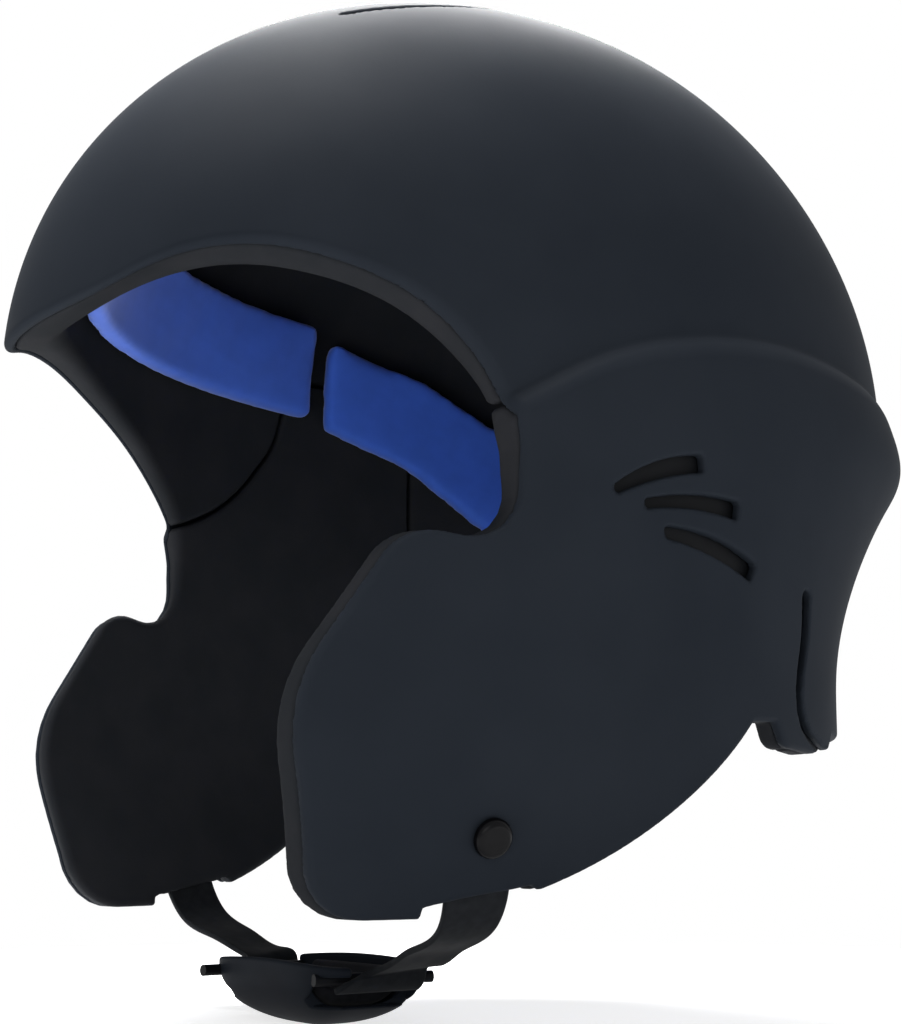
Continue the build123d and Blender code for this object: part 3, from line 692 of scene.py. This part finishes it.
padForm = {
    "back": 1.3,
    "thickness": 7.7,
    "slack": 0.7,  # how much smaller a pad starts before it fills
    "corner": 3.0,
    "edgeRound": 2.6,
    "centreGap": 1.0,
    "front": [(-150, 49), (-8.9, 47.2), (-12.5, 79), (-150, 80)],
    "rear": [(-7.2, 75.8), (33, 67), (70, 46), (140, 28), (140, -6), (62, 9), (46, 22.5), (29, 35.5),
             (-3.6, 45)],
    "rearRadii": [3, 40, 40, 1, 1, 20, 20, 40, 3],
    "crownRadius": 36.0,
    "gridStep": 2.4,
    "pressure": 4.0,
    "furthest": 1.5,  # cap on how far a point may move, mm
    "frames": 16,
    "quality": 5,
    "evening": 12,  # passes that spread the swelling evenly over the cover
}

padZones = {
    "front": outlineDistance(roundCorners(padForm["front"], [padForm["corner"]] * 4, closed=True), margin=30),
    "rear": outlineDistance(roundCorners(padForm["rear"], padForm["rearRadii"], closed=True), margin=30),
}


def padLayer(x, y, z):
    cavity = cavityDistance(x, y, z)
    return np.maximum(cavity + padForm["back"], -(cavity + padForm["back"] + padForm["thickness"]))


def sidePadDistance(zone):
    def read(x, y, z):
        outline = roundMax(padZones[zone](y, z), padForm["centreGap"] - x, padForm["corner"])
        return roundMax(padLayer(x, y, z), outline, padForm["edgeRound"]) + padForm["slack"]
    return read


def crownPadDistance(x, y, z):
    outline = np.hypot(x, y) - padForm["crownRadius"]
    return roundMax(padLayer(x, y, z), outline, padForm["edgeRound"]) + padForm["slack"]


def fillPad(piece):
    # pressure swells the cover, and each point keeps within a cap of where it started
    start = np.array([v.co[:] for v in piece.data.vertices])
    cloth = piece.modifiers.new("filling", "CLOTH")
    cloth.settings.use_pressure = True
    cloth.settings.uniform_pressure_force = padForm["pressure"]
    cloth.settings.effector_weights.gravity = 0
    cloth.settings.quality = padForm["quality"]
    cloth.point_cache.frame_start, cloth.point_cache.frame_end = 1, padForm["frames"]
    scene = bpy.context.scene
    for frameNumber in range(1, padForm["frames"] + 1):
        scene.frame_set(frameNumber)
    filled = piece.evaluated_get(bpy.context.evaluated_depsgraph_get()).data
    moved = np.array([v.co[:] for v in filled.vertices]) - start
    piece.modifiers.remove(cloth)
    edges = np.array([edge.vertices[:] for edge in piece.data.edges])
    for _ in range(padForm["evening"]):
        total, touching = np.zeros_like(moved), np.zeros((len(moved), 1))
        for a, b in ((0, 1), (1, 0)):
            np.add.at(total, edges[:, a], moved[edges[:, b]])
            np.add.at(touching, edges[:, a], 1)
        moved = (moved + total / touching) / 2
    scene.frame_set(1)
    length = np.linalg.norm(moved, axis=1)[:, None]
    moved *= np.minimum(1, padForm["furthest"] * mm / np.maximum(length, 1e-9))
    piece.data.vertices.foreach_set("co", (start + moved).ravel())
    piece.data.update()


def finishPad(piece, node):
    rounding = piece.modifiers.new("smoothing", "SUBSURF")
    rounding.levels = rounding.render_levels = 1
    place(piece, "helmet", [node], "pad", knitOverFoam)


for zone in ("front", "rear"):
    room = roomFor(zone + "_pad_left")
    points, quads, _ = fieldMesh(sidePadDistance(zone), *room, padForm["gridStep"])
    left = meshObject(zone + "PadLeft", points, quads)
    fillPad(left)
    points = np.array([v.co[:] for v in left.data.vertices]) / mm
    points, quads, _ = mirrored(points, quads)
    right = meshObject(zone + "PadRight", points, quads)
    finishPad(left, zone + "_pad_left")
    finishPad(right, zone + "_pad_right")
padMesh = fieldMesh(crownPadDistance, *roomFor("crown_pad"), padForm["gridStep"])
crownPad = meshObject("crownPad", *padMesh[:2])
fillPad(crownPad)
finishPad(crownPad, "crown_pad")

# webbing from each rivet to the chin cup

webbingForm = {
    "thickness": 1.6,
    "frontEdge": [(76.5, -67, -96), (73.6, -65.3, -104), (70.8, -63.6, -111.5), (66, -62, -117.5),
                  (50, -59.5, -122.8), (38, -57.5, -126.6), (31.8, -58.5, -128.6), (31, -64.5, -131),
                  (28.4, -66.5, -133)],
    "rearEdge": [(79.9, -50, -95), (77.1, -49, -102), (74.4, -48, -109), (68, -46.8, -116.5),
                 (52, -45, -122.5), (40, -43, -126.3), (32.5, -42, -128.2), (31.6, -42, -130.6),
                 (29, -42, -132.8)],
    "stations": 90,
    "across": 14,
    "squareness": 0.35,  # below 1 the section fills out towards its selvedges
    "flatness": 4,
}


def ribbonMesh(form):
    # flat tape between two edges, with rounded selvedges
    stations, across = form["stations"], form["across"]
    front, rear = pathThrough(form["frontEdge"], stations), pathThrough(form["rearEdge"], stations)
    middle = (front + rear) / 2
    run = np.gradient(middle, axis=0)
    run /= np.linalg.norm(run, axis=1)[:, None]
    spread = rear - front
    lift = np.cross(spread, run)
    lift /= np.linalg.norm(lift, axis=1)[:, None]
    turns = np.linspace(0, 2 * np.pi, 2 * across, endpoint=False)
    sideways = np.sign(np.cos(turns)) * np.abs(np.cos(turns)) ** form["squareness"] / 2
    upward = np.sign(np.sin(turns)) * np.minimum(1, np.abs(np.sin(turns)) * form["flatness"])
    upward = upward * form["thickness"] / 2
    ring = len(turns)
    points = (middle[:, None] + spread[:, None] * sideways[None, :, None]
              + lift[:, None] * upward[None, :, None]).reshape(-1, 3)
    faces = []
    for i in range(stations - 1):
        for j in range(ring):
            k = (j + 1) % ring
            faces.append((i * ring + j, i * ring + k, (i + 1) * ring + k, (i + 1) * ring + j))
    for start in (0, (stations - 1) * ring):  # closes each end with strips
        for j in range(across - 1):
            quad = (start + j, start + j + 1, start + (ring - j - 2) % ring, start + (ring - j - 1) % ring)
            faces.append(quad if start else quad[::-1])
    return points, faces


strapMesh = ribbonMesh(webbingForm)
place(meshObject("strapLeft", *strapMesh), "chin_strap", ["strap_left"], "webbing", wovenTape)
strapMesh = mirrored(*strapMesh)[:2]
place(meshObject("strapRight", *strapMesh), "chin_strap", ["strap_right"], "webbing", wovenTape)

# chin cup and its lining

cupForm = {
    "centre": -54.6,
    "halfLength": 32.0,
    "halfWidth": 17.0,
    "fullHeight": -130.0,
    "depth": 13.2,
    "squareness": 4.6,
    "wall": 2.2,
    "rimMiddle": -126.0,
    "rimEnd": -127.4,
    "rimRound": 0.9,
    "windowReach": 22.0,
    "windowFloor": -136.8,
    "windowGap": 0.6,
    "slotTop": -129.6,
    "slotFront": -17.5,
    "gridStep": 0.55,
    "liningHalfLength": 21.0,
    "liningTop": -128.0,
    "liningThickness": 2.8,
    "liningGap": 0.4,
    "liningRound": 1.2,
    "liningSlack": 0.3,  # how much smaller it is drawn, so that it stays clear of the cup
    "liningGridStep": 1.2,
    "innerRound": 0.4,
    "windowRound": 0.8,
}


def cupDistance(x, y, z, inset=0.0):
    # rounded dish: upright walls above, drawn in to a blunt keel below
    a, b = cupForm["halfLength"] - inset, cupForm["halfWidth"] - inset
    p = cupForm["squareness"]
    down = np.minimum(z - inset - cupForm["fullHeight"], 0) / cupForm["depth"]
    u, v = np.abs(x) / a, np.abs(y - cupForm["centre"]) / b
    plan = np.maximum((u ** p + v ** p) ** (1 / p), 1e-6)
    size = np.maximum(np.hypot(plan, down), 1e-6)
    slopeX = plan / size * (u / plan) ** (p - 1) / a
    slopeY = plan / size * (v / plan) ** (p - 1) / b
    slopeZ = down / size / cupForm["depth"]
    return (size - 1) / np.sqrt(slopeX ** 2 + slopeY ** 2 + slopeZ ** 2)


def rimHeight(x):
    share = (x / cupForm["halfLength"]) ** 2
    return cupForm["rimMiddle"] + (cupForm["rimEnd"] - cupForm["rimMiddle"]) * share


def chinCupDistance(x, y, z):
    hollow = cupDistance(x, y, z, cupForm["wall"])
    form = roundMax(cupDistance(x, y, z), -hollow, cupForm["innerRound"])
    form = roundMax(form, z - rimHeight(x), cupForm["rimRound"])
    reach, back = strapPlace(x, y)
    halfWindow = strapFrame["width"] / 2 + cupForm["windowGap"]
    beyond = np.maximum(cupForm["windowReach"] - reach, cupForm["windowFloor"] - z)
    window = np.maximum(beyond, np.abs(back) - halfWindow)
    slot = np.maximum(beyond, z - cupForm["slotTop"])
    slot = np.maximum(slot, np.maximum(cupForm["slotFront"] - back, back - halfWindow))
    form = roundMax(form, -window, cupForm["windowRound"])
    return roundMax(form, -slot, cupForm["windowRound"])


def liningDistance(x, y, z):
    gap = cupForm["wall"] + cupForm["liningGap"]
    layer = np.maximum(cupDistance(x, y, z, gap), -cupDistance(x, y, z, gap + cupForm["liningThickness"]))
    trim = np.maximum(np.abs(x) - cupForm["liningHalfLength"], z - cupForm["liningTop"])
    return roundMax(layer, trim, cupForm["liningRound"]) + cupForm["liningSlack"]


chinCup = meshObject("chinCup", *fieldMesh(chinCupDistance, *roomFor("chin_cup"), cupForm["gridStep"]))
place(chinCup, "chin_strap", ["chin_cup"], "cup", mouldedCup)
liningMesh = fieldMesh(liningDistance, *roomFor("chin_cup_lining"), cupForm["liningGridStep"])
cupLining = meshObject("cupLining", *liningMesh[:2])
place(cupLining, "chin_strap", ["chin_cup_lining"], "lining", softLining)

# small CAD pieces keep their shapes and take their finishes

for node, material in (
        ("ear_vent_baffle_left", baffleSheet), ("ear_vent_baffle_right", baffleSheet),
        ("crown_vent_baffle_left", baffleSheet), ("crown_vent_baffle_right", baffleSheet),
        ("pad_hook_tabs", hookTape),
        ("rivet_cap_left", snapCap), ("rivet_cap_right", snapCap),
        ("rivet_washer_left", turnedSteel), ("rivet_washer_right", turnedSteel),
        ("strap_eyelet_left", turnedSteel), ("strap_eyelet_right", turnedSteel),
        ("clamp_bar_left", mouldedBar), ("clamp_bar_right", mouldedBar)):
    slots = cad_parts[node].data.materials
    for i in range(len(slots)):
        slots[i] = material

# floor, lamps, world and camera

stageForm = {
    "floorHeight": min(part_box(node)[0][2] for node in ("chin_cup", "strap_left")) / mm,
    "floorSize": 6000.0,
    "lamps": [  # name, place mm, aims at mm, size mm, watts
        ("topSoftbox", (-60, -160, 880), (0, 0, 40), 420, 20.0),
        ("rearSoftbox", (-420, 300, 800), (0, 0, 60), 500, 22.0),
        ("frontSoftbox", (760, -540, -20), (0, 0, 0), 600, 2.4)],
    "surroundLight": 0.32,
    "floorGlow": 0.72,  # how white the floor is before the lamps add to it, near the object
    "floorFadeStart": 180.0,
    "floorFadeEnd": 420.0,
    "cameraPlace": (378.6, -281.2, -101.3),
    "cameraForward": (-0.7953, 0.5677, 0.2127),
    "focalLength": 56.25,
    "sensorWidth": 36.0,
    "clipStart": 0.01,  # metres, as the next
    "clipEnd": 50.0,
}


def seenFromCamera(tree):
    # 1 where a camera, glossy or transmission ray asks, so the background reads white in them
    path = addNode(tree, "ShaderNodeLightPath")
    total = addNode(tree, "ShaderNodeMath", {"operation": "ADD"},
                    {0: (path, "Is Camera Ray"), 1: (path, "Is Glossy Ray")})
    return addNode(tree, "ShaderNodeMath", {"operation": "ADD", "use_clamp": True},
                   {0: (total, "Value"), 1: (path, "Is Transmission Ray")})


floorMesh = bpy.data.meshes.new("floor")
half, level = stageForm["floorSize"] / 2 * mm, stageForm["floorHeight"] * mm
floorCorners = [(-half, -half, level), (half, -half, level), (half, half, level), (-half, half, level)]
floorMesh.from_pydata(floorCorners, [], [(0, 1, 2, 3)])
floor = bpy.data.objects.new("floor", floorMesh)
bpy.context.scene.collection.objects.link(floor)

# matt white paper sweep: reads white all over, and takes the object's shadow close by
sweepPaper = makeFinish("mattPaperSweep", {
    "surface": {"Roughness": 0.95, "Specular IOR Level": 0.0},
    "shades": ("#eeeeee", "#f1f1f1"), "cloudMm": 120.0})
tree = sweepPaper.node_tree
spot, surface = tree.nodes["Texture Coordinate"], tree.nodes["Principled BSDF"]
fromMiddle = addNode(tree, "ShaderNodeVectorMath", {"operation": "LENGTH"}, {0: (spot, "Object")})
fade = addNode(tree, "ShaderNodeMapRange", {
    "From Min": stageForm["floorFadeStart"] * mm, "From Max": stageForm["floorFadeEnd"] * mm},
    {"Value": (fromMiddle, "Value")})
nearGlow = addNode(tree, "ShaderNodeEmission", {"Strength": stageForm["floorGlow"]})
nearPaper = addNode(tree, "ShaderNodeAddShader", None, {0: (nearGlow, "Emission"), 1: (surface, "BSDF")})
farPaper = addNode(tree, "ShaderNodeEmission", {"Strength": 1.0})
seenPaper = addNode(tree, "ShaderNodeMixShader", None,
                    {0: (fade, "Result"), 1: (nearPaper, "Shader"), 2: (farPaper, "Emission")})
paper = addNode(tree, "ShaderNodeMixShader", None,
                {0: (seenFromCamera(tree), "Value"), 1: (surface, "BSDF"), 2: (seenPaper, "Shader")})
tree.links.new(paper.outputs["Shader"], tree.nodes["Material Output"].inputs["Surface"])
floor.data.materials.append(sweepPaper)

for name, spot, aim, size, watts in stageForm["lamps"]:
    lamp = bpy.data.lights.new(name, "AREA")
    lamp.size, lamp.energy = size * mm, watts
    lampObject = bpy.data.objects.new(name, lamp)
    lampObject.location = Vector(spot) * mm
    lampObject.rotation_euler = (Vector(aim) - Vector(spot)).to_track_quat("-Z", "Y").to_euler()
    bpy.context.scene.collection.objects.link(lampObject)

world = bpy.data.worlds.new("studio")
bpy.context.scene.world = world
world.use_nodes = True
world.node_tree.nodes.clear()
soft = addNode(world.node_tree, "ShaderNodeBackground", {"Color": toLinear("#ffffff"),
                                                        "Strength": stageForm["surroundLight"]})
white = addNode(world.node_tree, "ShaderNodeBackground", {"Color": toLinear("#ffffff"), "Strength": 1.0})
chosen = addNode(world.node_tree, "ShaderNodeMixShader", None,
                 {0: (seenFromCamera(world.node_tree), "Value"), 1: (soft, "Background"),
                  2: (white, "Background")})
addNode(world.node_tree, "ShaderNodeOutputWorld", None, {"Surface": (chosen, "Shader")})

camera = bpy.data.cameras.new("camera")
cameraObject = bpy.data.objects.new("camera", camera)
bpy.context.scene.collection.objects.link(cameraObject)
camera.lens, camera.sensor_width = stageForm["focalLength"], stageForm["sensorWidth"]
camera.clip_start, camera.clip_end = stageForm["clipStart"], stageForm["clipEnd"]
cameraObject.location = Vector(stageForm["cameraPlace"]) * mm
cameraObject.rotation_mode = "QUATERNION"
cameraObject.rotation_quaternion = Vector(stageForm["cameraForward"]).to_track_quat("-Z", "Y")
bpy.context.scene.camera = cameraObject
bpy.context.scene.view_settings.view_transform = "Standard"
